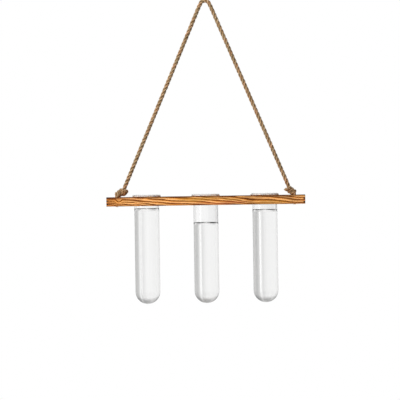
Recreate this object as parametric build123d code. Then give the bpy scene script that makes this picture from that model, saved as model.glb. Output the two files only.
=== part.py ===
from build123d import *
import os
from math import cos, pi, radians, sin, tan

# A hanging propagation vase: a wooden bar on one rope carries three round-bottomed glass tubes.
# Millimetres, +Z up, +X along the bar, -Y to the front. The origin is the hanging point,
# on the inside of the rope's top bend.

# Wooden bar, set out from the middle tube to each end
tube_pitch = 76.0              # from one tube's axis to the next
rope_holes_from_tube = 38.1    # outer tube's axis to the rope holes
rope_holes_from_end = 10.9     # rope holes to the end of the bar
bar_depth = 60.0
bar_thickness = 11.7
bar_edge_radius = 0.6

# Glass tubes
tube_diameter = 32.0
tube_wall = 1.5
tube_length = 140.4            # lip to the lowest point of the round bottom
lip_height = 2.6               # the lip stands this high on the bar
lip_overhang = 2.25            # the lip stands out this far past the tube's wall
lip_edge_radius = 0.7
tube_hole_clearance = 0.4      # all round the tube
tube_hole_edge = 0.3

# Rope
rope_diameter = 5.0
hang_height = 248.0            # hanging point to the top of the bar
hook_radius = 4.5              # the inside of the rope's top bend
rope_joint_gap = 0.35          # between the hanging stretch and each knot

# Tied rope ends, drawn thinner by the pull
knot_rope_diameter = 2.4
knot_gap = 0.6                 # between a turn of the knot and its core
turn_pitch = 4.7               # from one turn to the next, along the core
knot_slope = 28.0              # the knot's core falls outwards at this angle, in degrees
knot_above_bar = 0.4
knot_overhang = 1.4            # the first turn stands this far outwards of the rope holes
knot_lead = 4.6                # the bar's swing axis above the bend into the core, along the rope
core_run_in = 1.5              # core between the top bend and the last turn
core_run_out = 0.2             # core between the first turn and the bend to the front hole
tail_drop = 7.0                # from the last corner to the cut end, square to the core
tail_reach = 5.2               # and along it, inwards
rope_hole_clearance = 0.6      # all round the rope
rope_hole_edge = 0.5           # no more than the groove's side leaves
front_hole_lead_in = 1.2       # the rope turns down this high above the bar
groove_depth = 1.6             # under the bar, between the two rope holes
groove_side = 0.7              # the groove is this much wider than the holes on each side
groove_clearance = 0.3

# Places that follow from the sizes
rope_hole_x = tube_pitch + rope_holes_from_tube
bar_length = 2 * (rope_hole_x + rope_holes_from_end)
bar_top = -hang_height
bar_bottom = bar_top - bar_thickness
tube_radius = tube_diameter / 2
tube_bore_radius = tube_radius - tube_wall
tube_hole_radius = tube_radius + tube_hole_clearance
rope_radius = rope_diameter / 2
knot_radius = knot_rope_diameter / 2
turn_radius = knot_rope_diameter + knot_gap      # knot's core axis to the middle of a turn
rope_hole_y = turn_radius                        # front and back holes, in line with the turns
rope_hole_radius = knot_radius + rope_hole_clearance
under_bar_z = bar_bottom + groove_depth - groove_clearance - knot_radius

# The knot's core runs outwards and down in the XZ plane. Quarter turns climb back up along it.
core_out = Vector(cos(radians(knot_slope)), 0, -sin(radians(knot_slope)))
core_up = Vector(sin(radians(knot_slope)), 0, cos(radians(knot_slope)))
quarter_turns = 6
lowest_turn_rise = 0.5 * turn_pitch * sin(radians(knot_slope)) - turn_radius * core_up.Z
first_turn = Vector(
    rope_hole_x + knot_overhang - turn_radius * core_up.X,
    0,
    bar_top + knot_above_bar + knot_radius - lowest_turn_rise,
)


def on_core(along):
    """A point on the axis of the right knot's core, this far outwards from its first turn."""
    return first_turn + core_out * along


# The taut rope is a straight line from the top bend of each knot to the bend at the hanging point.
knot_top = on_core(-turn_pitch * quarter_turns / 4 - core_run_in)
bend_radius = hook_radius + rope_radius
leg_guess = Vector(knot_top.X, 0, knot_top.Z - rope_radius)
leg_slope = Vector(0, 0, -1).get_angle(leg_guess)
bend_half_width = bend_radius * tan(radians(90 - leg_slope) / 2) + 0.2
bend_corner = Vector(bend_half_width, 0, rope_radius)
leg_down = (knot_top - bend_corner).normalized()
swing_point = knot_top - leg_down * knot_lead


def mirrored(points, side):
    """The right side's points, or with side -1 their mirror image on the left."""
    return [Vector(side * p.X, p.Y, p.Z) for p in points]


def corner_radii(points, largest):
    """The radius of each bend: as large as its two runs leave room for, up to that bend's largest."""
    radii = []
    for before, corner, after, limit in zip(points, points[1:], points[2:], largest):
        run_in = corner - before
        run_out = after - corner
        half_turn = radians(run_in.get_angle(run_out)) / 2
        room = 0.485 * min(run_in.length, run_out.length) / tan(half_turn)
        radii.append(min(room, limit))
    return radii


def least_self_gap(path, diameter):
    """The least gap between two stretches of a tube that lie more than three diameters apart along it."""
    count = int(path.length / (0.15 * diameter))
    spots = [path @ (i / count) for i in range(count + 1)]
    apart = int(3 * diameter / (path.length / count))
    least = min(
        (spots[i] - spots[j]).length
        for i in range(len(spots))
        for j in range(i + apart, len(spots))
    )
    return least - diameter


def rope_tube(name, points, radii, diameter):
    """A round tube along straight runs joined by tangent arcs."""
    path = FilletPolyline(*points, radius=radii)
    section = Plane(origin=path @ 0, z_dir=path % 0) * Circle(diameter / 2)
    tube = sweep(section, path=path)
    expected = pi * diameter**2 / 4 * path.length
    print(
        f"{name}: length {path.length:.1f}, radii {[round(r, 2) for r in radii]}, "
        f"volume over section times length {tube.volume / expected:.5f}, "
        f"least gap to itself {least_self_gap(path, diameter):.2f}"
    )
    return tube


def wooden_bar():
    """A plain board with eased edges, tube holes, and a pair of grooved rope holes at each end."""
    middle = Location((0, 0, bar_top - bar_thickness / 2))
    board = middle * Box(bar_length, bar_depth, bar_thickness)
    board = fillet(board.edges(), bar_edge_radius)
    for x in (-tube_pitch, 0, tube_pitch):
        hole = Location((x, 0, bar_top - bar_thickness / 2)) * Cylinder(tube_hole_radius, 2 * bar_thickness)
        board -= hole
    rims = [
        e for e in board.edges().filter_by(GeomType.CIRCLE)
        if abs(e.radius - tube_hole_radius) < 1e-6
    ]
    board = chamfer(rims, tube_hole_edge)
    for x in (-rope_hole_x, rope_hole_x):
        slot = SlotCenterToCenter(2 * rope_hole_y, 2 * (rope_hole_radius + groove_side), rotation=90)
        board -= extrude(Location((x, 0, bar_bottom)) * slot, groove_depth)
        for y in (-rope_hole_y, rope_hole_y):
            board -= Location((x, y, bar_top - bar_thickness / 2)) * Cylinder(rope_hole_radius, 2 * bar_thickness)
    mouths = [
        e for e in board.edges().filter_by(GeomType.CIRCLE)
        if abs(e.radius - rope_hole_radius) < 1e-6
    ]
    return chamfer(mouths, min(rope_hole_edge, 0.8 * groove_side))


def glass_tube(x):
    """A round-bottomed tube whose beaded lip rests flat on the bar round its hole."""
    lip_radius = tube_radius + lip_overhang
    lip_top = bar_top + lip_height
    bottom_centre = lip_top - tube_length + tube_radius
    crown_radius = min(0.95 * lip_overhang, lip_height - lip_edge_radius - 0.1)
    mouth_radius = 0.9 * tube_wall
    outline = Polyline(
        (tube_radius, bottom_centre),
        (tube_radius, bar_top),
        (lip_radius, bar_top),
        (lip_radius, lip_top),
        (tube_bore_radius, lip_top),
        (tube_bore_radius, bottom_centre),
    )
    outer_round = CenterArc((0, bottom_centre), tube_radius, -90, 90)
    inner_round = CenterArc((0, bottom_centre), tube_bore_radius, -90, 90)
    pole = Line((0, bottom_centre - tube_radius), (0, bottom_centre - tube_bore_radius))
    half = make_face([outline, outer_round, inner_round, pole])
    rounded = (
        ((lip_radius, bar_top), lip_edge_radius),
        ((lip_radius, lip_top), crown_radius),
        ((tube_bore_radius, lip_top), mouth_radius),
    )
    for place, radius in rounded:
        half = fillet(half.vertices().sort_by_distance((*place, 0))[0], radius)
    return Location((x, 0, 0)) * revolve(Plane.XZ * half, Axis.Z)


def hanging_rope():
    """The taut stretch from one knot over the hanging point to the other, with domed ends at the swing axis."""
    end = swing_point + leg_down * rope_radius
    points = mirrored([end, bend_corner], -1) + [bend_corner, end]
    rope = rope_tube("hanging_rope", points, [bend_radius, bend_radius], rope_diameter)
    ends = rope.edges().filter_by(GeomType.CIRCLE).sort_by(Axis.Z)[:2]
    return fillet(ends, 0.95 * rope_radius)


def tied_end(name, side):
    """A tied end: along the core, down the front hole, up the back one, and round the core to a cut tail."""
    points = [
        swing_point + leg_down * (rope_radius + rope_joint_gap),
        knot_top,
        on_core(core_run_out),
        Vector(rope_hole_x, -rope_hole_y, bar_top + front_hole_lead_in),
        Vector(rope_hole_x, -rope_hole_y, under_bar_z),
        Vector(rope_hole_x, rope_hole_y, under_bar_z),
        Vector(rope_hole_x, rope_hole_y, bar_top),
    ]
    # Four corners to a turn: back and top, front and top, front and bottom, back and bottom
    sides = ((1, 1), (-1, 1), (-1, -1), (1, -1))
    for quarter in range(quarter_turns):
        back, up = sides[quarter % 4]
        middle = on_core(-turn_pitch * quarter / 4)
        points.append(middle + Vector(0, back * turn_radius, 0) + core_up * (up * turn_radius))
    points.append(points[-1] - core_up * tail_drop - core_out * tail_reach)
    points = mirrored(points, side)
    # Three bends into the front hole, two round the wood under the bar, then out of the back hole and the turns
    largest = [turn_radius] * 3 + [knot_rope_diameter] * 2 + [turn_radius] * (1 + quarter_turns)
    return rope_tube(name, points, corner_radii(points, largest), knot_rope_diameter)


nodes = {
    "wooden_bar": wooden_bar(),
    "left_tube": glass_tube(-tube_pitch),
    "middle_tube": glass_tube(0),
    "right_tube": glass_tube(tube_pitch),
    "hanging_rope": hanging_rope(),
    "left_knot": tied_end("left_knot", -1),
    "right_knot": tied_end("right_knot", 1),
}

print(f"bar {bar_length:.1f} long, swing axis {swing_point.Z - bar_top:.2f} above it")
print(f"swing axis at z {swing_point.Z:.3f}, rope ends at x {swing_point.X:.3f}")

os.makedirs("parts", exist_ok=True)
for node, solid in nodes.items():
    export_step(solid, f"parts/{node}.step")
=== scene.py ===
import math

import bmesh
import bpy
from mathutils import Matrix, Vector


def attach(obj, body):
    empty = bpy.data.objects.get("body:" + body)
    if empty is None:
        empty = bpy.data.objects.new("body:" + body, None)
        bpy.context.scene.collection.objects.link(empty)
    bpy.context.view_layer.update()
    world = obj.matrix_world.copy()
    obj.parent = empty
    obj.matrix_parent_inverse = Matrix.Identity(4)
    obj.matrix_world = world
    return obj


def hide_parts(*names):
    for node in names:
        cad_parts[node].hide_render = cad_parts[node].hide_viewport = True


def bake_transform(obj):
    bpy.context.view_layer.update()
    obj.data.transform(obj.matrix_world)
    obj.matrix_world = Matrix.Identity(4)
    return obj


# A hanging propagation vase: a wooden bar on one jute rope carries three round-bottomed glass tubes
# of water. Metres, +Z up, +X along the bar, -Y to the front. The origin is the hanging point, under the
# rope's top bend.

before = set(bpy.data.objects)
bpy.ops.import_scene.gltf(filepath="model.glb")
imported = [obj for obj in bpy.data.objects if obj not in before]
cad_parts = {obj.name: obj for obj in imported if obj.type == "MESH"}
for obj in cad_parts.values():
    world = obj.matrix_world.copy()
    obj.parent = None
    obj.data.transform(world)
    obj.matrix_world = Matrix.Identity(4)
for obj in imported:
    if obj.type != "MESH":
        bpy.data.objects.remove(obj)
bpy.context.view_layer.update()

MM = 0.001
METRE_IN_MM = 1000
FULL_TURN = 2 * math.pi

# Sizes repeated from the part's source, in millimetres
BAR_LENGTH = 250.0
BAR_DEPTH = 60.0
BAR_THICKNESS = 11.7
BAR_TOP = -248.0
TUBE_PITCH = 76.0
TUBE_RADIUS = 16.0
TUBE_BORE_RADIUS = 14.5
TUBE_LENGTH = 140.4
LIP_HEIGHT = 2.6
LIP_RADIUS = 18.25
LIP_EDGE_RADIUS = 0.7
LIP_CROWN_RADIUS = 1.8
LIP_MOUTH_RADIUS = 1.35
ROPE_DIAMETER = 5.0
SWING_AXIS_Z = -236.597

# The right knot in the part's source: the top of its core, and the core's ways outwards and square up
knot_top = Vector((106.542, 0, -240.840))
core_out = Vector((0.882948, 0, -0.469472))
core_up = Vector((0.469472, 0, 0.882948))

# Sizes of what only this script makes, in millimetres or as a share
LIP_ROOT_RADIUS = 0.3          # the hollow where the wall turns out into the lip
WATER_OVERLAP = 0.3            # into the glass wall, so that no film of air shows between them
MENISCUS_HEIGHT = 2.4
MENISCUS_REACH = 1.6
ROPE_CROWNS = 1.06             # the rope over the crowns of its strands, as a share of its mean size
ROPE_LAY = 17.4                # one full turn of a strand
KNOT_LAY = 15.0
KNOT_ROPE_DIAMETER = 4.4       # drawn thinner by the pull
KNOT_FLATTEN = 0.80            # the knot's turns are pressed flat against its core to this share
STRANDS = 3
STRAND_RADIUS = 0.268          # of the rope's size, more than the 0.232 of three that only touch
STRAND_OUT = 0.236             # from the rope's axis to a strand's, of the rope's size
FRAY_LENGTH = 5.0              # a cut end opens over this length
YARN_LAY = 9.5                 # one full turn of the yarns in a strand
YARN_RIDGES = 5                # round a strand
YARN_RIDGE_HEIGHT = 0.16
YARN_RIDGE_SINK = 0.1          # the ridges start this far inside, so that the strand keeps its mean size
LUMP_HEIGHT = 0.4              # from the thinnest place of a strand to the thickest
HAIR_RADIUS = 0.06

# Refractive indices of borosilicate glass and water
GLASS_IOR = 1.47
WATER_IOR = 1.333

# Water levels seen in the photograph
WATER_LEVELS = {"left": -265.1, "middle": -284.2, "right": -268.5}


def linear(hex_colour):
    """An sRGB hex colour as linear red, green, blue and alpha."""
    parts = [int(hex_colour[i:i + 2], 16) / 255 for i in (1, 3, 5)]
    return [c / 12.92 if c <= 0.04045 else ((c + 0.055) / 1.055) ** 2.4 for c in parts] + [1.0]


def repeats(sizes_mm, unit_mm):
    """How often a pattern of these sizes along X, Y and Z goes into one unit of its coordinates."""
    return [unit_mm / size for size in sizes_mm]


def add_node(tree, kind, inputs=None, ramp=None, **settings):
    """Adds a node with its settings, and fills its inputs with values or with other nodes' outputs."""
    node = tree.nodes.new(kind)
    for name, value in settings.items():
        setattr(node, name, value)
    for key, value in (inputs or {}).items():
        if isinstance(value, bpy.types.NodeSocket):
            tree.links.new(value, node.inputs[key])
        else:
            node.inputs[key].default_value = value
    if ramp:
        stops = node.color_ramp.elements
        stops[0].position = ramp[0][0]
        stops[0].color = ramp[0][1]
        stops[-1].position = ramp[-1][0]
        stops[-1].color = ramp[-1][1]
        for place, colour in ramp[1:-1]:
            stops.new(place).color = colour
    return node


def new_material(name):
    """An empty node material."""
    material = bpy.data.materials.new(name)
    material.use_nodes = True
    material.node_tree.nodes.clear()
    return material


def brushed_scorched_pine():
    """Pine, scorched with a flame, wire-brushed and oiled. The soft pale wood between the growth rings is
    worn back, the hard rings stand up as dark wavy lines along the bar, and the upper arrises stay almost
    black."""
    material = new_material("brushed_scorched_pine")
    tree = material.node_tree
    coordinates = add_node(tree, "ShaderNodeTexCoord")
    place = add_node(
        tree, "ShaderNodeVectorMath", {0: coordinates.outputs["Object"], 1: [METRE_IN_MM] * 3},
        operation="MULTIPLY",
    ).outputs[0]

    # The grain falls a few degrees to the right. It is bent by slow waves and by small ones, begun where
    # their lines run much as the photograph's do.
    grain_fall = math.radians(-4.2)
    wave_start = (116.6, 81.4, 50.6)
    bent = add_node(
        tree, "ShaderNodeMapping", {"Vector": place, "Rotation": (0, grain_fall, 0)}
    ).outputs[0]
    for long_mm, across_mm, amount_mm in ((120, 30, 9), (34, 8, 3.0), (12, 3, 1.1)):
        stretched = add_node(
            tree, "ShaderNodeVectorMath", {0: place, 1: repeats((long_mm, across_mm, across_mm), 1)},
            operation="MULTIPLY",
        )
        moved = add_node(
            tree, "ShaderNodeVectorMath", {0: stretched.outputs[0], 1: wave_start}, operation="ADD"
        )
        wave = add_node(
            tree, "ShaderNodeTexNoise", {"Vector": moved.outputs[0], "Scale": 1.0, "Detail": 1.0}
        )
        centred = add_node(
            tree, "ShaderNodeVectorMath", {0: wave.outputs["Color"], 1: (0.5, 0.5, 0.5)},
            operation="SUBTRACT",
        )
        bent = add_node(
            tree, "ShaderNodeVectorMath",
            {0: centred.outputs[0], 1: (0, amount_mm, amount_mm), 2: bent}, operation="MULTIPLY_ADD",
        ).outputs[0]

    # A small branch grew out near the left end, and the grain dips below it
    branch_place = (-109.5, -30, -253.0)
    branch_mm = (6, 20, 7)
    from_branch = add_node(tree, "ShaderNodeVectorMath", {0: place, 1: branch_place}, operation="SUBTRACT")
    from_branch = add_node(
        tree, "ShaderNodeVectorMath", {0: from_branch.outputs[0], 1: repeats(branch_mm, 1)},
        operation="MULTIPLY",
    )
    from_branch = add_node(tree, "ShaderNodeVectorMath", {0: from_branch.outputs[0]}, operation="LENGTH")
    dip = add_node(
        tree, "ShaderNodeMapRange", {"Value": from_branch.outputs["Value"], "To Min": 3.0, "To Max": 0.0},
        interpolation_type="SMOOTHSTEP",
    )
    dipped = add_node(tree, "ShaderNodeCombineXYZ", {2: dip.outputs[0]})
    bent = add_node(
        tree, "ShaderNodeVectorMath", {0: bent, 1: dipped.outputs[0]}, operation="ADD"
    ).outputs[0]

    # Growth rings about a pith below and behind the bar
    ring_mm = 2.5
    pith_place = (0, 18, BAR_TOP - 96)
    across = add_node(tree, "ShaderNodeVectorMath", {0: bent, 1: (0, 1, 1)}, operation="MULTIPLY")
    from_pith = add_node(
        tree, "ShaderNodeVectorMath", {0: across.outputs[0], 1: pith_place}, operation="DISTANCE"
    ).outputs["Value"]
    years = add_node(
        tree, "ShaderNodeTexNoise", {"W": from_pith, "Scale": 0.16, "Detail": 1.0}, noise_dimensions="1D"
    )
    ring_count = add_node(
        tree, "ShaderNodeMath", {0: from_pith, 1: 1 / ring_mm, 2: years.outputs["Fac"]},
        operation="MULTIPLY_ADD",
    )
    ring = add_node(tree, "ShaderNodeMath", {0: ring_count.outputs[0]}, operation="FRACT").outputs[0]
    ring_colour = add_node(
        tree, "ShaderNodeValToRGB", {"Fac": ring},
        ramp=(
            (0.0, linear("#F2AC64")),
            (0.28, linear("#F8BC7C")),
            (0.50, linear("#DE8E3C")),
            (0.66, linear("#984E06")),
            (0.80, linear("#502200")),
            (0.92, linear("#743A04")),
            (1.0, linear("#EA9E50")),
        ),
    ).outputs["Color"]
    late_wood = add_node(
        tree, "ShaderNodeMapRange", {"Value": ring, "From Min": 0.55, "From Max": 0.86},
        interpolation_type="SMOOTHSTEP",
    ).outputs[0]

    # Fibres run along the bar. Real ones are under 0.1 mm across, so these are drawn coarser, to show.
    fibre_mm = (24, 1.7, 1.7)
    stretched = add_node(
        tree, "ShaderNodeVectorMath", {0: bent, 1: repeats(fibre_mm, 1)}, operation="MULTIPLY"
    )
    fibres = add_node(
        tree, "ShaderNodeTexNoise",
        {"Vector": stretched.outputs[0], "Scale": 1.0, "Detail": 2.0, "Roughness": 0.6},
    ).outputs["Fac"]
    fibre_light = add_node(
        tree, "ShaderNodeMapRange",
        {"Value": fibres, "From Min": 0.3, "From Max": 0.7, "To Min": 0.53, "To Max": 1.36},
    )
    fibred = add_node(
        tree, "ShaderNodeVectorMath", {0: ring_colour, "Scale": fibre_light.outputs[0]}, operation="SCALE"
    ).outputs[0]

    # Redder and yellower heat stains in long patches
    stain_mm = (55, 20, 7)
    stretched = add_node(
        tree, "ShaderNodeVectorMath", {0: place, 1: repeats(stain_mm, 1)}, operation="MULTIPLY"
    )
    patches = add_node(
        tree, "ShaderNodeTexNoise", {"Vector": stretched.outputs[0], "Scale": 1.0, "Detail": 1.0}
    )
    shares = add_node(tree, "ShaderNodeSeparateColor", {0: patches.outputs["Color"]})
    stained = fibred
    for share, colour in (("Red", "#B9583A"), ("Green", "#D29A30")):
        stain = add_node(
            tree, "ShaderNodeMapRange",
            {"Value": shares.outputs[share], "From Min": 0.5, "From Max": 0.8, "To Max": 0.5},
        )
        stained = add_node(
            tree, "ShaderNodeMix", {0: stain.outputs[0], 6: stained, 7: linear(colour)},
            data_type="RGBA", blend_type="MIX",
        ).outputs[2]

    # The flame lingered at the left end
    left_end = -BAR_LENGTH / 2
    singe_mm = 26
    along_bar = add_node(tree, "ShaderNodeSeparateXYZ", {0: place}).outputs["X"]
    singe = add_node(
        tree, "ShaderNodeMapRange",
        {
            "Value": along_bar, "From Min": left_end, "From Max": left_end + singe_mm,
            "To Min": 1.0, "To Max": 0.0,
        },
    )
    singed = add_node(
        tree, "ShaderNodeMix", {0: singe.outputs[0], 6: stained, 7: linear("#D6BC9C")},
        data_type="RGBA", blend_type="MULTIPLY",
    ).outputs[2]

    # How far the surface is from the nearest long arris
    half_bar = (BAR_LENGTH / 2, BAR_DEPTH / 2, BAR_THICKNESS / 2)
    bar_middle = (0, 0, BAR_TOP - BAR_THICKNESS / 2)
    from_middle = add_node(
        tree, "ShaderNodeVectorMath", {0: place, 1: bar_middle}, operation="SUBTRACT"
    ).outputs[0]
    folded = add_node(tree, "ShaderNodeVectorMath", {0: from_middle}, operation="ABSOLUTE")
    inwards = add_node(
        tree, "ShaderNodeVectorMath", {0: half_bar, 1: folded.outputs[0]}, operation="SUBTRACT"
    )
    inside = add_node(tree, "ShaderNodeSeparateXYZ", {0: inwards.outputs[0]})
    from_arris = add_node(
        tree, "ShaderNodeMath", {0: inside.outputs["Y"], 1: inside.outputs["Z"]}, operation="MAXIMUM"
    )

    # The flame went along the top arrises and left a ragged dark edge
    burn_mm = (26, 6, 6)
    stretched = add_node(
        tree, "ShaderNodeVectorMath", {0: place, 1: repeats(burn_mm, 1)}, operation="MULTIPLY"
    )
    burn = add_node(
        tree, "ShaderNodeTexNoise", {"Vector": stretched.outputs[0], "Scale": 1.0, "Detail": 2.0}
    )
    burn_width = add_node(
        tree, "ShaderNodeMapRange",
        {"Value": burn.outputs["Fac"], "From Min": 0.3, "From Max": 0.7, "To Min": 1.4, "To Max": 4.4},
    )
    scorch = add_node(
        tree, "ShaderNodeMapRange",
        {
            "Value": from_arris.outputs[0], "From Min": 0.3, "From Max": burn_width.outputs[0],
            "To Min": 0.96, "To Max": 0.0,
        },
        interpolation_type="SMOOTHSTEP",
    )
    height = add_node(tree, "ShaderNodeSeparateXYZ", {0: from_middle}).outputs["Z"]
    upwards = add_node(
        tree, "ShaderNodeMapRange",
        {"Value": height, "From Min": -BAR_THICKNESS / 2, "From Max": BAR_THICKNESS / 2, "To Min": 0.35},
    )
    scorch = add_node(
        tree, "ShaderNodeMath", {0: scorch.outputs[0], 1: upwards.outputs[0]}, operation="MULTIPLY"
    )
    scorched = add_node(
        tree, "ShaderNodeMix", {0: scorch.outputs[0], 6: singed, 7: linear("#52290C")},
        data_type="RGBA", blend_type="MIX",
    ).outputs[2]

    # The hard rings are burnt to a row of dark dots at the corners of the two ends
    dot_mm = 4.2
    dots = add_node(tree, "ShaderNodeMath", {0: height, 1: FULL_TURN / dot_mm}, operation="MULTIPLY")
    dots = add_node(tree, "ShaderNodeMath", {0: dots.outputs[0]}, operation="SINE")
    dots = add_node(tree, "ShaderNodeMapRange", {"Value": dots.outputs[0], "From Min": 0.0, "From Max": 0.6})
    end_burn = add_node(
        tree, "ShaderNodeMapRange",
        {"Value": inside.outputs["X"], "From Min": 1.7, "From Max": 3.1, "To Min": 0.97, "To Max": 0.0},
    )
    near_face = add_node(
        tree, "ShaderNodeMapRange",
        {"Value": inside.outputs["Y"], "From Min": 1.0, "From Max": 6.0, "To Min": 1.0, "To Max": 0.15},
    )
    end_dots = add_node(
        tree, "ShaderNodeMath", {0: end_burn.outputs[0], 1: dots.outputs[0]}, operation="MULTIPLY"
    )
    end_dots = add_node(
        tree, "ShaderNodeMath", {0: end_dots.outputs[0], 1: near_face.outputs[0]}, operation="MULTIPLY"
    )
    finished = add_node(
        tree, "ShaderNodeMix", {0: end_dots.outputs[0], 6: scorched, 7: linear("#1E1208")},
        data_type="RGBA", blend_type="MIX",
    ).outputs[2]

    # The brush leaves the hard rings and the fibres standing, and the oil shines a little more on the rings
    relief = add_node(tree, "ShaderNodeMath", {0: late_wood, 1: 0.6, 2: fibres}, operation="MULTIPLY_ADD")
    bump = add_node(
        tree, "ShaderNodeBump", {"Strength": 0.5, "Distance": 0.25 * MM, "Height": relief.outputs[0]}
    )
    roughness = add_node(tree, "ShaderNodeMapRange", {"Value": late_wood, "To Min": 0.72, "To Max": 0.52})
    shader = add_node(
        tree, "ShaderNodeBsdfPrincipled",
        {
            "Base Color": finished, "Roughness": roughness.outputs[0], "Normal": bump.outputs[0],
            "IOR": 1.5, "Specular IOR Level": 0.22,
        },
    )
    add_node(tree, "ShaderNodeOutputMaterial", {"Surface": shader.outputs[0]})
    return material


def fire_polished_glass():
    """Borosilicate glass, drawn as tubing and fire-polished. It is clear and smooth, with very faint draw
    lines that unsettle what is seen through it, and painted grey shade where the wall is seen edge on."""
    material = new_material("fire_polished_glass")
    tree = material.node_tree
    coordinates = add_node(tree, "ShaderNodeTexCoord")
    draw_line_mm = (5, 5, 60)
    stretched = add_node(
        tree, "ShaderNodeVectorMath",
        {0: coordinates.outputs["Object"], 1: repeats(draw_line_mm, METRE_IN_MM)}, operation="MULTIPLY",
    )
    draw_lines = add_node(
        tree, "ShaderNodeTexNoise", {"Vector": stretched.outputs[0], "Scale": 1.0, "Detail": 1.0}
    )
    bump = add_node(
        tree, "ShaderNodeBump", {"Strength": 0.06, "Distance": 0.2 * MM, "Height": draw_lines.outputs["Fac"]}
    )
    # The tint greys towards the edges, where the wall is seen edge on: painted shade for the darker
    # surroundings that the edges show
    glance = add_node(tree, "ShaderNodeFresnel", {"IOR": GLASS_IOR})
    painted_edge_shade = add_node(
        tree, "ShaderNodeMapRange", {"Value": glance.outputs[0], "From Min": 0.05, "From Max": 0.6}
    )
    tint = add_node(
        tree, "ShaderNodeMix", {0: painted_edge_shade.outputs[0], 6: linear("#FDFDFD"), 7: linear("#BEBEBD")},
        data_type="RGBA", blend_type="MIX",
    )
    # The lip was melted back by the flame, so it is thick, a little cloudy and pale
    height = add_node(tree, "ShaderNodeSeparateXYZ", {0: coordinates.outputs["Object"]}).outputs["Z"]
    clear = add_node(
        tree, "ShaderNodeMapRange",
        {
            "Value": height, "From Min": (BAR_TOP - 0.6) * MM, "From Max": (BAR_TOP + 0.2) * MM,
            "To Min": 1.0, "To Max": 0.5,
        },
    )
    shader = add_node(
        tree, "ShaderNodeBsdfPrincipled",
        {
            "Base Color": tint.outputs[2], "Roughness": 0.0, "IOR": GLASS_IOR,
            "Transmission Weight": clear.outputs[0], "Normal": bump.outputs[0],
        },
    )
    add_node(tree, "ShaderNodeOutputMaterial", {"Surface": shader.outputs[0]})
    return material


def still_water():
    """Clear tap water, standing still. It turns each tube into a strong lens, and is a little less clear
    in faint clouds."""
    material = new_material("still_water")
    tree = material.node_tree
    coordinates = add_node(tree, "ShaderNodeTexCoord")
    cloud_mm = 30
    cloud = add_node(
        tree, "ShaderNodeTexNoise",
        {"Vector": coordinates.outputs["Object"], "Scale": METRE_IN_MM / cloud_mm, "Detail": 1.0},
    )
    tint = add_node(
        tree, "ShaderNodeMix", {0: cloud.outputs["Fac"], 6: linear("#FDFDFD"), 7: linear("#FAFAF9")},
        data_type="RGBA", blend_type="MIX",
    )
    shader = add_node(
        tree, "ShaderNodeBsdfPrincipled",
        {"Base Color": tint.outputs[2], "Roughness": 0.0, "IOR": WATER_IOR, "Transmission Weight": 1.0},
    )
    add_node(tree, "ShaderNodeOutputMaterial", {"Surface": shader.outputs[0]})
    return material


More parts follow.
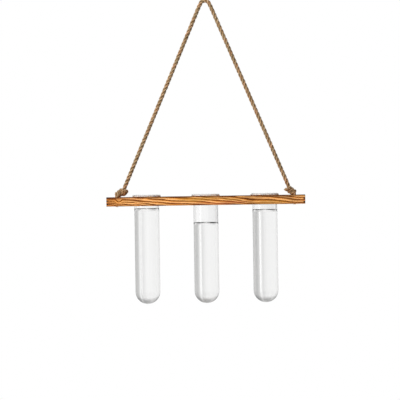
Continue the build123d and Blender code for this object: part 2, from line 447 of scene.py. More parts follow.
def laid_jute():
    """Natural jute, spun into yarn and laid in three strands. It is dull and fibrous, straw-coloured on
    the crowns, darkened brown between the strands by dust and painted shade, with paler and darker fibres
    side by side."""
    material = new_material("laid_jute")
    tree = material.node_tree
    straight = add_node(tree, "ShaderNodeAttribute", attribute_name="straight_place").outputs["Vector"]

    # Fibres along the yarn. Real ones are under 0.1 mm across, so these are drawn coarser, to show.
    fibre_mm = (0.5, 0.5, 7)
    stretched = add_node(
        tree, "ShaderNodeVectorMath", {0: straight, 1: repeats(fibre_mm, METRE_IN_MM)}, operation="MULTIPLY"
    )
    fibres = add_node(
        tree, "ShaderNodeTexNoise",
        {"Vector": stretched.outputs[0], "Scale": 1.0, "Detail": 3.0, "Roughness": 0.6},
    ).outputs["Fac"]
    fibre_colour = add_node(
        tree, "ShaderNodeValToRGB", {"Fac": fibres},
        ramp=(
            (0.22, linear("#5C3C1C")),
            (0.42, linear("#957650")),
            (0.56, linear("#B69A76")),
            (0.74, linear("#E0CBA8")),
        ),
    ).outputs["Color"]

    # Redder and greyer bundles, as one batch of fibre differs from the next, and paler and darker ones
    bundle_mm = (3, 3, 26)
    stretched = add_node(
        tree, "ShaderNodeVectorMath", {0: straight, 1: repeats(bundle_mm, METRE_IN_MM)}, operation="MULTIPLY"
    )
    bundles = add_node(
        tree, "ShaderNodeTexNoise", {"Vector": stretched.outputs[0], "Scale": 1.0, "Detail": 2.0}
    )
    bundle_light = add_node(
        tree, "ShaderNodeMapRange",
        {"Value": bundles.outputs["Fac"], "From Min": 0.3, "From Max": 0.7, "To Min": 0.73, "To Max": 1.25},
    )
    shares = add_node(tree, "ShaderNodeSeparateColor", {0: bundles.outputs["Color"]})
    bundled = fibre_colour
    for share, colour in (("Red", "#A2694C"), ("Green", "#8F8A70")):
        tinge = add_node(
            tree, "ShaderNodeMapRange",
            {"Value": shares.outputs[share], "From Min": 0.48, "From Max": 0.72, "To Max": 0.55},
        )
        bundled = add_node(
            tree, "ShaderNodeMix", {0: tinge.outputs[0], 6: bundled, 7: linear(colour)},
            data_type="RGBA", blend_type="MIX",
        ).outputs[2]

    # Dust and shade fill the grooves between the strands, brown and warm
    crown = add_node(tree, "ShaderNodeAttribute", attribute_name="crown").outputs["Fac"]
    out_of_groove = add_node(
        tree, "ShaderNodeMapRange", {"Value": crown, "From Min": 0.64, "From Max": 0.98},
        interpolation_type="SMOOTHSTEP",
    )
    groove_shade = add_node(
        tree, "ShaderNodeMix", {0: out_of_groove.outputs[0], 6: linear("#A48A66"), 7: linear("#FFFFFF")},
        data_type="RGBA", blend_type="MIX",
    )
    shaded = add_node(
        tree, "ShaderNodeVectorMath", {0: bundled, 1: groove_shade.outputs[2]}, operation="MULTIPLY"
    )
    finished = add_node(
        tree, "ShaderNodeVectorMath", {0: shaded.outputs[0], "Scale": bundle_light.outputs[0]},
        operation="SCALE",
    )
    bump = add_node(tree, "ShaderNodeBump", {"Strength": 0.6, "Distance": 0.15 * MM, "Height": fibres})
    shader = add_node(
        tree, "ShaderNodeBsdfPrincipled",
        {
            "Base Color": finished.outputs[0], "Roughness": 0.9, "Normal": bump.outputs[0], "IOR": 1.5,
            "Specular IOR Level": 0.15, "Sheen Weight": 0.12, "Sheen Roughness": 0.5,
        },
    )
    add_node(tree, "ShaderNodeOutputMaterial", {"Surface": shader.outputs[0]})
    return material


def white_paper_floor():
    """White paper sweep. The camera sees it as white, and it keeps a soft shadow."""
    material = new_material("white_paper_floor")
    tree = material.node_tree
    path = add_node(tree, "ShaderNodeLightPath")
    glow = add_node(tree, "ShaderNodeEmission", {"Color": linear("#FFFFFF"), "Strength": 0.72})
    paper = add_node(tree, "ShaderNodeBsdfDiffuse", {"Color": linear("#BCBCBC")})
    bright = add_node(tree, "ShaderNodeAddShader", {0: glow.outputs[0], 1: paper.outputs[0]})
    plain = add_node(tree, "ShaderNodeBsdfDiffuse", {"Color": linear("#E7E7E7")})
    mixed = add_node(
        tree, "ShaderNodeMixShader",
        {0: path.outputs["Is Camera Ray"], 1: plain.outputs[0], 2: bright.outputs[0]},
    )
    add_node(tree, "ShaderNodeOutputMaterial", {"Surface": mixed.outputs[0]})
    return material


def white_studio():
    """Even light from all round. The camera sees plain white. Glass and gloss see white with soft grey
    panels between, which is what draws the edges of clear glass on a white ground."""
    world = bpy.data.worlds.new("white_studio")
    world.use_nodes = True
    tree = world.node_tree
    tree.nodes.clear()
    path = add_node(tree, "ShaderNodeLightPath")
    direction = add_node(tree, "ShaderNodeTexCoord").outputs["Generated"]
    parts = add_node(tree, "ShaderNodeSeparateXYZ", {0: direction})
    height = parts.outputs["Z"]

    # Gloss sees the panels on the other hand, so that both draw the left edge of a tube and leave its
    # right edge white
    hand = add_node(
        tree, "ShaderNodeMath", {0: path.outputs["Is Transmission Ray"], 1: 2.0, 2: -1.0},
        operation="MULTIPLY_ADD",
    )
    azimuth = add_node(
        tree, "ShaderNodeMath", {0: parts.outputs["X"], 1: parts.outputs["Y"]}, operation="ARCTAN2"
    )
    azimuth = add_node(
        tree, "ShaderNodeMath", {0: azimuth.outputs[0], 1: hand.outputs[0]}, operation="MULTIPLY"
    ).outputs[0]
    half_turn = add_node(tree, "ShaderNodeMath", {0: azimuth, 1: 1 / math.pi}, operation="MULTIPLY")
    half_turn = add_node(
        tree, "ShaderNodeMath", {0: half_turn.outputs[0], 1: 1.0}, operation="FLOORED_MODULO"
    )
    panels = add_node(
        tree, "ShaderNodeValToRGB", {"Fac": half_turn.outputs[0]},
        ramp=(
            (0.0, linear("#FAFAFA")),
            (0.025, linear("#F2F2F2")),
            (0.056, linear("#E6E6E6")),
            (0.085, linear("#FFFFFF")),
            (0.12, linear("#CECECE")),
            (0.145, linear("#BEBEBE")),
            (0.18, linear("#C0C0C0")),
            (0.24, linear("#CECECE")),
            (0.42, linear("#CECECE")),
            (0.52, linear("#FFFFFF")),
            (0.97, linear("#FFFFFF")),
            (1.0, linear("#FAFAFA")),
        ),
    )
    panels.color_ramp.interpolation = "EASE"

    # Soft strips all round, darker overhead, draw the tubes when they are seen from above or below
    strip_count = 8
    strips = add_node(tree, "ShaderNodeMath", {0: azimuth, 1: strip_count}, operation="MULTIPLY")
    strips = add_node(tree, "ShaderNodeMath", {0: strips.outputs[0]}, operation="COSINE")
    high_strips = add_node(
        tree, "ShaderNodeMapRange",
        {"Value": strips.outputs[0], "From Min": -1.0, "To Min": 0.66, "To Max": 0.4},
        interpolation_type="SMOOTHSTEP",
    )
    low_strips = add_node(
        tree, "ShaderNodeMapRange",
        {"Value": strips.outputs[0], "From Min": -1.0, "To Min": 0.6, "To Max": 1.0},
        interpolation_type="SMOOTHSTEP",
    )
    ceiling_start = add_node(
        tree, "ShaderNodeMapRange", {"Value": height, "From Min": 0.15, "From Max": 0.42},
        interpolation_type="SMOOTHSTEP",
    )
    ceiling_end = add_node(
        tree, "ShaderNodeMapRange",
        {"Value": height, "From Min": 0.78, "From Max": 0.92, "To Min": 1.0, "To Max": 0.0},
        interpolation_type="SMOOTHSTEP",
    )
    ceiling = add_node(
        tree, "ShaderNodeMath", {0: ceiling_start.outputs[0], 1: ceiling_end.outputs[0]},
        operation="MULTIPLY",
    )
    ceiling_light = add_node(
        tree, "ShaderNodeMix", {0: ceiling.outputs[0], 2: 1.0, 3: high_strips.outputs[0]}, data_type="FLOAT"
    )
    level_light = add_node(
        tree, "ShaderNodeMath", {0: panels.outputs["Color"], 1: ceiling_light.outputs[0]},
        operation="MULTIPLY",
    )
    downwards = add_node(
        tree, "ShaderNodeMapRange", {"Value": height, "From Min": -0.13, "From Max": -0.28},
        interpolation_type="SMOOTHSTEP",
    )
    studio = add_node(
        tree, "ShaderNodeMix",
        {0: downwards.outputs[0], 2: level_light.outputs[0], 3: low_strips.outputs[0]}, data_type="FLOAT",
    )

    # Plain light for the surfaces, the studio for glass and gloss, and white for the camera
    plain_level = 0.35
    glass_or_gloss = add_node(
        tree, "ShaderNodeMath",
        {0: path.outputs["Is Glossy Ray"], 1: path.outputs["Is Transmission Ray"]}, operation="MAXIMUM",
    )
    lit = add_node(
        tree, "ShaderNodeMix", {0: glass_or_gloss.outputs[0], 2: plain_level, 3: studio.outputs[0]},
        data_type="FLOAT",
    )
    seen = add_node(
        tree, "ShaderNodeMix", {0: path.outputs["Is Camera Ray"], 2: lit.outputs[0], 3: 1.0},
        data_type="FLOAT",
    )
    background = add_node(
        tree, "ShaderNodeBackground", {"Color": linear("#FFFFFF"), "Strength": seen.outputs[0]}
    )
    add_node(tree, "ShaderNodeOutputWorld", {"Surface": background.outputs[0]})
    return world


def laid_rope_tree():
    """Geometry Nodes for a laid rope: strands that wind round a route, with yarn ridges and loose fibres."""
    tree = bpy.data.node_groups.new("laid_rope", "GeometryNodeTree")
    tree.interface.new_socket("Rope", in_out="OUTPUT", socket_type="NodeSocketGeometry")
    tree.interface.new_socket("Route", in_out="INPUT", socket_type="NodeSocketGeometry")
    for name, kind in (
        ("Diameter", "NodeSocketFloat"),
        ("Lay Length", "NodeSocketFloat"),
        ("Step", "NodeSocketFloat"),
        ("End Share", "NodeSocketFloat"),
        ("Taper Length", "NodeSocketFloat"),
        ("Fray", "NodeSocketFloat"),
        ("Loose Fibres", "NodeSocketFloat"),
        ("Flatten", "NodeSocketFloat"),
        ("Core Start", "NodeSocketVector"),
        ("Core Direction", "NodeSocketVector"),
        ("Seed", "NodeSocketInt"),
        ("Jute", "NodeSocketMaterial"),
    ):
        tree.interface.new_socket(name, in_out="INPUT", socket_type=kind)
    given = add_node(tree, "NodeGroupInput").outputs

    # A copy of the route for each strand, moved out from it along a helix
    line = add_node(tree, "GeometryNodeMeshToCurve", {"Mesh": given["Route"]})
    even = add_node(
        tree, "GeometryNodeResampleCurve", {"Curve": line.outputs[0], "Length": given["Step"]}, mode="LENGTH"
    )
    strands = add_node(
        tree, "GeometryNodeDuplicateElements", {"Geometry": even.outputs[0], "Amount": STRANDS},
        domain="SPLINE",
    )
    along = add_node(tree, "GeometryNodeSplineParameter").outputs["Length"]
    whole = add_node(tree, "GeometryNodeSplineLength").outputs["Length"]
    to_end = add_node(tree, "ShaderNodeMath", {0: whole, 1: along}, operation="SUBTRACT").outputs[0]
    nearest_end = add_node(tree, "ShaderNodeMath", {0: along, 1: to_end}, operation="MINIMUM").outputs[0]
    taper = add_node(
        tree, "ShaderNodeMapRange",
        {
            "Value": nearest_end, "From Max": given["Taper Length"],
            "To Min": given["End Share"], "To Max": 1.0,
        },
        interpolation_type="SMOOTHSTEP",
    )
    rope_size = add_node(
        tree, "ShaderNodeMath", {0: given["Diameter"], 1: taper.outputs[0]}, operation="MULTIPLY"
    ).outputs[0]
    strand_radius = add_node(
        tree, "ShaderNodeMath", {0: rope_size, 1: STRAND_RADIUS}, operation="MULTIPLY"
    ).outputs[0]
    fray = add_node(
        tree, "ShaderNodeMapRange",
        {"Value": to_end, "From Max": FRAY_LENGTH * MM, "To Min": given["Fray"], "To Max": 0.0},
        interpolation_type="SMOOTHSTEP",
    )
    spread = add_node(
        tree, "ShaderNodeMath", {0: fray.outputs[0], 1: STRAND_OUT, 2: STRAND_OUT}, operation="MULTIPLY_ADD"
    )
    strand_out = add_node(
        tree, "ShaderNodeMath", {0: rope_size, 1: spread.outputs[0]}, operation="MULTIPLY"
    ).outputs[0]
    turns = add_node(tree, "ShaderNodeMath", {0: along, 1: given["Lay Length"]}, operation="DIVIDE")
    strand_turns = add_node(
        tree, "ShaderNodeMath",
        {0: strands.outputs["Duplicate Index"], 1: 1 / STRANDS, 2: turns.outputs[0]},
        operation="MULTIPLY_ADD",
    )
    angle = add_node(
        tree, "ShaderNodeMath", {0: strand_turns.outputs[0], 1: FULL_TURN}, operation="MULTIPLY"
    ).outputs[0]
    tangent = add_node(tree, "GeometryNodeInputTangent").outputs[0]
    normal = add_node(tree, "GeometryNodeInputNormal").outputs["Normal"]
    side = add_node(
        tree, "ShaderNodeVectorMath", {0: tangent, 1: normal}, operation="CROSS_PRODUCT"
    ).outputs[0]
    cosine = add_node(tree, "ShaderNodeMath", {0: angle}, operation="COSINE").outputs[0]
    sine = add_node(tree, "ShaderNodeMath", {0: angle}, operation="SINE").outputs[0]
    over = add_node(tree, "ShaderNodeVectorMath", {0: normal, "Scale": cosine}, operation="SCALE").outputs[0]
    beside = add_node(tree, "ShaderNodeVectorMath", {0: side, "Scale": sine}, operation="SCALE").outputs[0]
    outwards = add_node(tree, "ShaderNodeVectorMath", {0: over, 1: beside}, operation="ADD").outputs[0]
    offset = add_node(
        tree, "ShaderNodeVectorMath", {0: outwards, "Scale": strand_out}, operation="SCALE"
    ).outputs[0]
    position = add_node(tree, "GeometryNodeInputPosition").outputs[0]
    kept = add_node(tree, "GeometryNodeCaptureAttribute", {"Geometry": strands.outputs["Geometry"]})
    for kind, name, value in (
        ("FLOAT", "along", along),
        ("FLOAT", "radius", strand_radius),
        ("FLOAT", "rope_size", rope_size),
        ("FLOAT", "strand", strands.outputs["Duplicate Index"]),
        ("VECTOR", "centre", position),
    ):
        kept.capture_items.new(kind, name)
        tree.links.new(value, kept.inputs[name])
    wound = add_node(
        tree, "GeometryNodeSetPosition", {"Geometry": kept.outputs["Geometry"], "Offset": offset}
    )

    # Each strand as a tube
    circle = add_node(tree, "GeometryNodeCurvePrimitiveCircle", {"Resolution": 20, "Radius": 1.0})
    round_place = add_node(tree, "GeometryNodeSplineParameter").outputs["Factor"]
    profile = add_node(tree, "GeometryNodeCaptureAttribute", {"Geometry": circle.outputs["Curve"]})
    profile.capture_items.new("FLOAT", "around")
    tree.links.new(round_place, profile.inputs["around"])
    tubes = add_node(
        tree, "GeometryNodeCurveToMesh",
        {
            "Curve": wound.outputs[0], "Profile Curve": profile.outputs["Geometry"],
            "Scale": kept.outputs["radius"], "Fill Caps": True,
        },
    )

    # Where a point would lie if its strand were straight and its yarns unwound, for patterns along the yarn
    pattern_radius = 1.0
    strand_apart = 1.3
    yarn_turns = add_node(
        tree, "ShaderNodeMath",
        {0: kept.outputs["along"], 1: -1 / (YARN_LAY * MM), 2: profile.outputs["around"]},
        operation="MULTIPLY_ADD",
    )
    yarn_angle = add_node(
        tree, "ShaderNodeMath", {0: yarn_turns.outputs[0], 1: FULL_TURN}, operation="MULTIPLY"
    ).outputs[0]
    yarn_x = add_node(tree, "ShaderNodeMath", {0: yarn_angle}, operation="COSINE").outputs[0]
    yarn_y = add_node(tree, "ShaderNodeMath", {0: yarn_angle}, operation="SINE").outputs[0]
    yarn_x = add_node(
        tree, "ShaderNodeMath", {0: yarn_x, 1: pattern_radius * MM}, operation="MULTIPLY"
    ).outputs[0]
    yarn_y = add_node(
        tree, "ShaderNodeMath", {0: yarn_y, 1: pattern_radius * MM}, operation="MULTIPLY"
    ).outputs[0]
    apart = add_node(
        tree, "ShaderNodeMath", {0: kept.outputs["strand"], 1: strand_apart, 2: kept.outputs["along"]},
        operation="MULTIPLY_ADD",
    ).outputs[0]
    straight = add_node(tree, "ShaderNodeCombineXYZ", {0: yarn_x, 1: yarn_y, 2: apart}).outputs[0]
    marked = add_node(
        tree, "GeometryNodeStoreNamedAttribute",
        {"Geometry": tubes.outputs[0], "Name": "straight_place", "Value": straight},
        data_type="FLOAT_VECTOR", domain="POINT",
    )

    # How far out a point is: about 1 on the crown of a strand, and less in the grooves
    centre = kept.outputs["centre"]
    from_centre = add_node(
        tree, "ShaderNodeVectorMath", {0: position, 1: centre}, operation="SUBTRACT"
    ).outputs[0]
    outness = add_node(tree, "ShaderNodeVectorMath", {0: from_centre}, operation="LENGTH").outputs["Value"]
    crown = add_node(tree, "ShaderNodeMath", {0: outness, 1: kept.outputs["rope_size"]}, operation="DIVIDE")
    crown = add_node(tree, "ShaderNodeMath", {0: crown.outputs[0], 1: 2.0}, operation="MULTIPLY")
    marked = add_node(
        tree, "GeometryNodeStoreNamedAttribute",
        {"Geometry": marked.outputs[0], "Name": "crown", "Value": crown.outputs[0]},
        data_type="FLOAT", domain="POINT",
    )

    # Yarn ridges that wind the other way, and uneven thickness
    lump_mm = (1.4, 1.4, 6)
    ridge = add_node(tree, "ShaderNodeMath", {0: yarn_angle, 1: YARN_RIDGES / 2}, operation="MULTIPLY")
    ridge = add_node(tree, "ShaderNodeMath", {0: ridge.outputs[0]}, operation="COSINE")
    ridge = add_node(tree, "ShaderNodeMath", {0: ridge.outputs[0]}, operation="ABSOLUTE")
    ridge = add_node(
        tree, "ShaderNodeMath", {0: ridge.outputs[0], 1: YARN_RIDGE_HEIGHT * MM, 2: -YARN_RIDGE_SINK * MM},
        operation="MULTIPLY_ADD",
    )
    stretched = add_node(
        tree, "ShaderNodeVectorMath", {0: straight, 1: repeats(lump_mm, METRE_IN_MM)}, operation="MULTIPLY"
    )
    lumps = add_node(
        tree, "ShaderNodeTexNoise", {"Vector": stretched.outputs[0], "Scale": 1.0, "Detail": 2.0}
    )
    lump = add_node(
        tree, "ShaderNodeMath", {0: lumps.outputs["Fac"], 1: LUMP_HEIGHT * MM, 2: -LUMP_HEIGHT / 2 * MM},
        operation="MULTIPLY_ADD",
    )
    rise = add_node(tree, "ShaderNodeMath", {0: ridge.outputs[0], 1: lump.outputs[0]}, operation="ADD")
    face_normal = add_node(tree, "GeometryNodeInputNormal").outputs["Normal"]
    uneven = add_node(
        tree, "ShaderNodeVectorMath", {0: face_normal, "Scale": rise.outputs[0]}, operation="SCALE"
    )
    spun = add_node(
        tree, "GeometryNodeSetPosition", {"Geometry": marked.outputs[0], "Offset": uneven.outputs[0]}
    )

    # Turns round a core are pressed flat against it
    from_core = add_node(
        tree, "ShaderNodeVectorMath", {0: centre, 1: given["Core Start"]}, operation="SUBTRACT"
    ).outputs[0]
    on_core = add_node(
        tree, "ShaderNodeVectorMath", {0: from_core, 1: given["Core Direction"]}, operation="PROJECT"
    ).outputs[0]
    radial = add_node(
        tree, "ShaderNodeVectorMath", {0: from_core, 1: on_core}, operation="SUBTRACT"
    ).outputs[0]
    away = add_node(tree, "ShaderNodeVectorMath", {0: radial}, operation="LENGTH").outputs["Value"]
    radial = add_node(tree, "ShaderNodeVectorMath", {0: radial}, operation="NORMALIZE").outputs[0]
    press = add_node(
        tree, "ShaderNodeMapRange",
        {"Value": away, "From Min": 1 * MM, "From Max": 2 * MM, "To Min": 1.0, "To Max": given["Flatten"]},
    ).outputs[0]
    height = add_node(
        tree, "ShaderNodeVectorMath", {0: from_centre, 1: radial}, operation="DOT_PRODUCT"
    ).outputs["Value"]
    less = add_node(tree, "ShaderNodeMath", {0: press, 1: 1.0}, operation="SUBTRACT").outputs[0]
    shift = add_node(tree, "ShaderNodeMath", {0: height, 1: less}, operation="MULTIPLY").outputs[0]
    inwards = add_node(
        tree, "ShaderNodeVectorMath", {0: radial, "Scale": shift}, operation="SCALE"
    ).outputs[0]
    pressed = add_node(tree, "GeometryNodeSetPosition", {"Geometry": spun.outputs[0], "Offset": inwards})
    smooth = add_node(tree, "GeometryNodeSetShadeSmooth", {"Geometry": pressed.outputs[0]})

    # Loose fibres, each a thin bent hair that lies along the rope and lifts at its end
    hair_line = add_node(
        tree, "GeometryNodeCurveQuadraticBezier",
        {
            "Resolution": 4, "Start": (0, 0, -0.1 * MM), "Middle": (1.0 * MM, 0, 0.1 * MM),
            "End": (2.2 * MM, 0.3 * MM, 0.7 * MM),
        },
    )
    hair_round = add_node(
        tree, "GeometryNodeCurvePrimitiveCircle", {"Resolution": 3, "Radius": HAIR_RADIUS * MM}
    )
    hair = add_node(
        tree, "GeometryNodeCurveToMesh",
        {"Curve": hair_line.outputs[0], "Profile Curve": hair_round.outputs["Curve"], "Fill Caps": True},
    )
    roots = add_node(
        tree, "GeometryNodeDistributePointsOnFaces",
        {"Mesh": smooth.outputs[0], "Density": given["Loose Fibres"], "Seed": given["Seed"]},
        distribute_method="RANDOM",
    )
    spin = add_node(
        tree, "FunctionNodeRandomValue", {0: (0, 0, 0), 1: (0.1, 0.1, FULL_TURN), "Seed": 3},
        data_type="FLOAT_VECTOR",
    )
    turned = add_node(
        tree, "FunctionNodeRotateRotation", {0: roots.outputs["Rotation"], 1: spin.outputs[0]},
        rotation_space="LOCAL",
    )
    length = add_node(tree, "FunctionNodeRandomValue", {2: 0.4, 3: 1.1, "Seed": 5}, data_type="FLOAT")
    hairs = add_node(
        tree, "GeometryNodeInstanceOnPoints",
        {
            "Points": roots.outputs["Points"], "Instance": hair.outputs[0],
            "Rotation": turned.outputs[0], "Scale": length.outputs[1],
        },
    )
    grown = add_node(tree, "GeometryNodeRealizeInstances", {"Geometry": hairs.outputs[0]})
    hair_marked = add_node(
        tree, "GeometryNodeStoreNamedAttribute",
        {"Geometry": grown.outputs[0], "Name": "straight_place", "Value": position},
        data_type="FLOAT_VECTOR", domain="POINT",
    )
    hair_marked = add_node(
        tree, "GeometryNodeStoreNamedAttribute",
        {"Geometry": hair_marked.outputs[0], "Name": "crown", "Value": 1.0},
        data_type="FLOAT", domain="POINT",
    )
    joined = add_node(tree, "GeometryNodeJoinGeometry", {"Geometry": hair_marked.outputs[0]})
    tree.links.new(smooth.outputs[0], joined.inputs[0])
    whole_rope = add_node(tree, "GeometryNodeRealizeInstances", {"Geometry": joined.outputs[0]})
    finished = add_node(
        tree, "GeometryNodeSetMaterial", {"Geometry": whole_rope.outputs[0], "Material": given["Jute"]}
    )
    add_node(tree, "NodeGroupOutput", {"Rope": finished.outputs[0]})
    return tree


def by_core(along, above, back):
    """A point of the right knot, from its top: along the core outwards, square above it, and to the back."""
    return knot_top + core_out * along + core_up * above + Vector((0, back, 0))


def left_hand(points):
    """The right-hand route's mirror image."""
    return [Vector((-p.x, p.y, p.z)) for p in points]


def moved_right(points, distances):
    """Points of the rope's route, each moved to the right by its own distance."""
    return [point + Vector((distance, 0, 0)) for point, distance in zip(points, distances)]


def route_line(name, points_mm):
    """A smooth NURBS line with the route's points as its control points, as a mesh of its own points."""
    curve = bpy.data.curves.new(name, "CURVE")
    curve.dimensions = "3D"
    curve.resolution_u = 48
    spline = curve.splines.new("NURBS")
    spline.points.add(len(points_mm) - 1)
    for point, place in zip(spline.points, points_mm):
        point.co = (*(Vector(place) * MM), 1.0)
    spline.order_u = 3
    spline.use_endpoint_u = True
    bare = bpy.data.objects.new(name, curve)
    mesh = bpy.data.meshes.new_from_object(bare)
    bpy.data.objects.remove(bare)
    bpy.data.curves.remove(curve)
    return mesh


def rope_piece(name, line, tree, sizes):
    """A rope along that line: the tree's result as a plain mesh, with no modifier left."""
    piece = bpy.data.objects.new(name, line)
    bpy.context.scene.collection.objects.link(piece)
    modifier = piece.modifiers.new("laid_rope", "NODES")
    modifier.node_group = tree
    sockets = tree.interface.items_tree
    identifiers = {socket.name: socket.identifier for socket in sockets if socket.in_out == "INPUT"}
    for label, value in sizes.items():
        modifier[identifiers[label]] = value
    shape = bpy.data.meshes.new_from_object(piece.evaluated_get(bpy.context.evaluated_depsgraph_get()))
    piece.modifiers.clear()
    piece.data = shape
    return piece


def turned_piece(name, profile_mm, x_mm, material, segments=144):
    """A shape turned about a vertical axis, from the bottom pole round to the top one, closed at both."""
    mesh_maker = bmesh.new()
    rings = []
    for radius, height in profile_mm:
        if radius == 0:
            rings.append([mesh_maker.verts.new((x_mm * MM, 0, height * MM))])
            continue
        ring = []
        for i in range(segments):
            angle = FULL_TURN * i / segments
            x = x_mm + radius * math.cos(angle)
            ring.append(mesh_maker.verts.new((x * MM, radius * math.sin(angle) * MM, height * MM)))
        rings.append(ring)
    for before, after in zip(rings, rings[1:]):
        for i in range(segments):
            j = (i + 1) % segments
            corners = [
                before[i % len(before)], before[j % len(before)],
                after[j % len(after)], after[i % len(after)],
            ]
            mesh_maker.faces.new(list(dict.fromkeys(corners))).smooth = True
    mesh = bpy.data.meshes.new(name)
    mesh_maker.to_mesh(mesh)
    mesh_maker.free()
    mesh.materials.append(material)
    piece = bpy.data.objects.new(name, mesh)
    bpy.context.scene.collection.objects.link(piece)
    return piece


def round_corner(centre, radius, start, end, steps):
    """Points of an arc in a turned shape's outline. The angles are in degrees, from straight outwards."""
    points = []
    for i in range(steps + 1):
        angle = math.radians(start + (end - start) * i / steps)
        points.append((centre[0] + radius * math.cos(angle), centre[1] + radius * math.sin(angle)))
    return points


def straight_wall(radius, low, high, steps):
    """Points up or down a straight wall of a turned shape, without its two ends."""
    return [(radius, low + (high - low) * i / steps) for i in range(1, steps)]


# Camera at the photograph's viewing angle: level with the bar, a little left of its middle, and tilted
# a little
camera_place = Vector((-7.3, -1216, -253.06))
camera_tilt = math.radians(-0.855)
camera_data = bpy.data.cameras.new("photo_camera")
camera_data.lens = 85
camera_data.sensor_width = 36
camera = bpy.data.objects.new("photo_camera", camera_data)
bpy.context.scene.collection.objects.link(camera)
camera.matrix_world = (
    Matrix.Translation(camera_place * MM)
    @ Matrix.Rotation(math.radians(90), 4, "X")
    @ Matrix.Rotation(camera_tilt, 4, "Z")
)
bpy.context.scene.camera = camera

# Materials
pine = brushed_scorched_pine()
glass = fire_polished_glass()
water = still_water()
jute = laid_jute()

# The hanging stretch's route on the right-hand side, from the part's source, in millimetres
hook_corner = Vector((4.777, 0, 2.5))
swing_point = Vector((104.768, 0, SWING_AXIS_Z))
leg_up = (hook_corner - knot_top).normalized()
below_hook = hook_corner - leg_up * (6 * ROPE_DIAMETER)
# Two points in place of the corner, because the photograph shows a flat top to the bend
hook_bend = [hook_corner - leg_up * 2.0, Vector((2.8, 0, 3.3))]
inside_knot = knot_top + core_out * 5.0
hanging_half = [inside_knot, knot_top, swing_point, below_hook] + hook_bend
# The photograph's rope has slipped to the right on its hook, so each half's points are moved one by one.
# The left one moves less by its knot, where the lip of the lifted left tube comes near.
left_slip = (0, 0.1, 0.4, 2.4, 2.6, 2.6)
right_slip = (0, 1.5, 2.3, 2.5, 2.6, 2.6)
hanging_left = moved_right(left_hand(hanging_half), left_slip)
hanging_right = moved_right(hanging_half, right_slip)

# The right knot's route: down the front hole, up the back one, then round the core.
# The turns lie closer than the source's, as in the photograph.
knot_route = [
    by_core(3.4, 0, 0),
    Vector((114.268, 0, -244.948)),
    Vector((114.1, -3.0, -246.8)),
    Vector((114.1, -3.0, -258.9)),
    Vector((114.1, 3.0, -258.9)),
    Vector((114.1, 3.0, -248.0)),
    by_core(8.6, 2.2, 3),
    by_core(7.8, 2.2, -3),
    by_core(6.6, -3, -3),
    by_core(5.8, -3, 3),
    by_core(5.0, 3, 3),
    by_core(4.2, 3, -3),
    by_core(3.0, -3, -3),
    by_core(2.4, -3, 3),
    by_core(1.6, 3.3, 3),
    by_core(0.8, 3.4, -3.4),
]
# The last turn crosses the front of the rope and its end is tucked in behind. The left one is slacker.
knot_tails = {
    "left": [
        by_core(-0.8, 0, -5.0),
        by_core(0.6, -4.2, -4.2),
        by_core(0.0, -4.4, 1.0),
        by_core(-4.2, -3.2, 2.0),
        by_core(-5.0, -1.0, -2.0),
        by_core(-1.6, -1.4, -5.2),
    ],
    "right": [by_core(-1.4, -2.4, -4.0), by_core(-3.0, -1.6, 0.5)],
}

# The rope's pieces
rope_tree = laid_rope_tree()
hanging_line = route_line("hanging_rope_route", hanging_left + hanging_right[::-1])
hanging_rope = rope_piece(
    "jute_hanging_rope",
    hanging_line,
    rope_tree,
    {
        "Diameter": ROPE_CROWNS * ROPE_DIAMETER * MM,
        "Lay Length": ROPE_LAY * MM,
        "Step": 0.7 * MM,
        "End Share": KNOT_ROPE_DIAMETER / (ROPE_CROWNS * ROPE_DIAMETER),
        "Taper Length": 14 * MM,
        "Fray": 0.0,
        "Loose Fibres": 45000.0,
        "Flatten": 1.0,
        "Core Start": (0, 0, 0),
        "Core Direction": (1, 0, 0),
        "Seed": 11,
        "Jute": jute,
    },
)
for side_name, side, seed in (("left", -1, 21), ("right", 1, 31)):
    points = knot_route + knot_tails[side_name]
    if side_name == "left":
        points = left_hand(points)
    knot = rope_piece(
        f"jute_{side_name}_knot",
        route_line(f"{side_name}_knot_route", points),
        rope_tree,
        {
            "Diameter": KNOT_ROPE_DIAMETER * MM,
            "Lay Length": KNOT_LAY * MM,
            "Step": 0.5 * MM,
            "End Share": 1.0,
            "Taper Length": 1 * MM,
            "Fray": 0.25,
            "Loose Fibres": 70000.0,
            "Flatten": KNOT_FLATTEN,
            "Core Start": (side * knot_top.x * MM, 0, knot_top.z * MM),
            "Core Direction": (side * core_out.x, 0, core_out.z),
            "Seed": seed,
            "Jute": jute,
        },
    )
    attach(knot, "bar")
    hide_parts(f"{side_name}_knot")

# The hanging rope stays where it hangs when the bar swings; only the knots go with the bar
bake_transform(hanging_rope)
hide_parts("hanging_rope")

# The outline of a glass tube, from the pole of its round bottom up the outside, over the lip and down
# the bore
lip_top = BAR_TOP + LIP_HEIGHT
bottom_centre = lip_top - TUBE_LENGTH + TUBE_RADIUS
lip_root_centre = (TUBE_RADIUS + LIP_ROOT_RADIUS, BAR_TOP - LIP_ROOT_RADIUS)
lip_edge_centre = (LIP_RADIUS - LIP_EDGE_RADIUS, BAR_TOP + LIP_EDGE_RADIUS)
lip_crown_centre = (LIP_RADIUS - LIP_CROWN_RADIUS, lip_top - LIP_CROWN_RADIUS)
lip_mouth_centre = (TUBE_BORE_RADIUS + LIP_MOUTH_RADIUS, lip_top - LIP_MOUTH_RADIUS)
tube_profile = [(0, bottom_centre - TUBE_RADIUS)]
tube_profile += round_corner((0, bottom_centre), TUBE_RADIUS, -90, 0, steps=32)[1:]
tube_profile += straight_wall(TUBE_RADIUS, bottom_centre, BAR_TOP - LIP_ROOT_RADIUS, steps=24)
tube_profile += round_corner(lip_root_centre, LIP_ROOT_RADIUS, 180, 90, steps=4)
tube_profile += round_corner(lip_edge_centre, LIP_EDGE_RADIUS, -90, 0, steps=6)
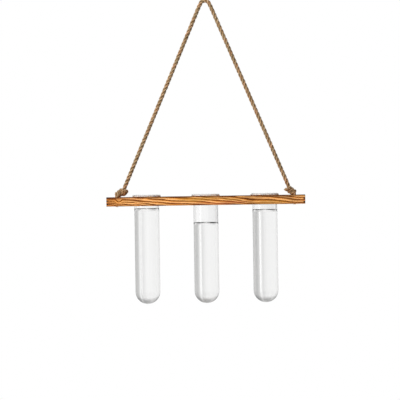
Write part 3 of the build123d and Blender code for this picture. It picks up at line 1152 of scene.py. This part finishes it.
tube_profile += round_corner(lip_crown_centre, LIP_CROWN_RADIUS, 0, 90, steps=12)
tube_profile += round_corner(lip_mouth_centre, LIP_MOUTH_RADIUS, 90, 180, steps=8)
tube_profile += straight_wall(TUBE_BORE_RADIUS, lip_top - LIP_MOUTH_RADIUS, bottom_centre, steps=24)
tube_profile += round_corner((0, bottom_centre), TUBE_BORE_RADIUS, 0, -90, steps=32)[:-1]
tube_profile += [(0, bottom_centre - TUBE_BORE_RADIUS)]

# Glass tubes and the water in them, whose edge climbs the glass
water_radius = TUBE_BORE_RADIUS + WATER_OVERLAP
meniscus_places = (0, 0.15, 0.35, 0.6, 0.9, 1.3, 1.8, 2.4, 3.2, 4.2, 5.5, 7.5, 10.5)
for side_name, x_mm in (("left", -TUBE_PITCH), ("middle", 0), ("right", TUBE_PITCH)):
    tube = turned_piece(f"glass_{side_name}_tube", tube_profile, x_mm, glass)
    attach(tube, f"{side_name}_tube")
    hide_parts(f"{side_name}_tube")

    level = WATER_LEVELS[side_name]
    water_profile = [(0, bottom_centre - water_radius)]
    water_profile += round_corner((0, bottom_centre), water_radius, -90, 0, steps=32)[1:]
    water_profile += straight_wall(water_radius, bottom_centre, level + MENISCUS_HEIGHT, steps=20)
    water_profile += [(water_radius, level + MENISCUS_HEIGHT)]
    for from_wall in meniscus_places:
        climb = MENISCUS_HEIGHT * math.exp(-from_wall / MENISCUS_REACH)
        water_profile.append((TUBE_BORE_RADIUS - from_wall, level + climb))
    water_profile += [(0, level)]
    fill = turned_piece(f"{side_name}_water", water_profile, x_mm, water)
    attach(fill, f"{side_name}_tube")

# The bar keeps its own shape
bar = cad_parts["wooden_bar"]
bar.data.materials.clear()
bar.data.materials.append(pine)

# White paper floor, well below the hanging vase. Glass and gloss look past its hard edges to the white
# studio.
floor_half_size = 1.2
floor_height = -1.0
floor_maker = bmesh.new()
bmesh.ops.create_grid(floor_maker, x_segments=1, y_segments=1, size=floor_half_size)
floor_mesh = bpy.data.meshes.new("paper_floor")
floor_maker.to_mesh(floor_mesh)
floor_maker.free()
floor_mesh.transform(Matrix.Translation((0, 0, floor_height)))
floor_mesh.materials.append(white_paper_floor())
floor = bpy.data.objects.new("paper_floor", floor_mesh)
bpy.context.scene.collection.objects.link(floor)
floor.visible_transmission = False
floor.visible_glossy = False

# Soft lamps: a tall narrow one to the left of the camera, whose reflection is the white stripe down each
# tube, a square one above it that lights the front, and one above and behind for the top and back.
# None of them is seen through the glass, and only the first is mirrored in it.
lamp_aim = Vector((0, 0, -0.25))
for lamp_name, place, width, height, watts, mirrored in (
    ("left_softbox", (-1.4, -1.1, -0.05), 0.45, 2.0, 9, True),
    ("key_softbox", (-0.8, -0.9, 0.75), 0.8, 0.8, 20.5, False),
    ("back_softbox", (0.25, 1.3, 1.0), 1.2, 0.8, 18, False),
):
    lamp_data = bpy.data.lights.new(lamp_name, "AREA")
    lamp_data.shape = "RECTANGLE"
    lamp_data.size = width
    lamp_data.size_y = height
    lamp_data.energy = watts
    lamp = bpy.data.objects.new(lamp_name, lamp_data)
    lamp.visible_glossy = mirrored
    lamp.visible_transmission = False
    bpy.context.scene.collection.objects.link(lamp)
    turned = (lamp_aim - Vector(place)).to_track_quat("-Z", "Y").to_matrix().to_4x4()
    lamp.matrix_world = Matrix.Translation(place) @ turned

bpy.context.scene.world = white_studio()
bpy.context.scene.view_settings.view_transform = "Standard"

# Seen from an end, a ray goes through 18 walls of glass and water before it comes out behind the third tube
light_bounces = 32
bpy.context.scene.cycles.max_bounces = light_bounces
bpy.context.scene.cycles.transmission_bounces = light_bounces
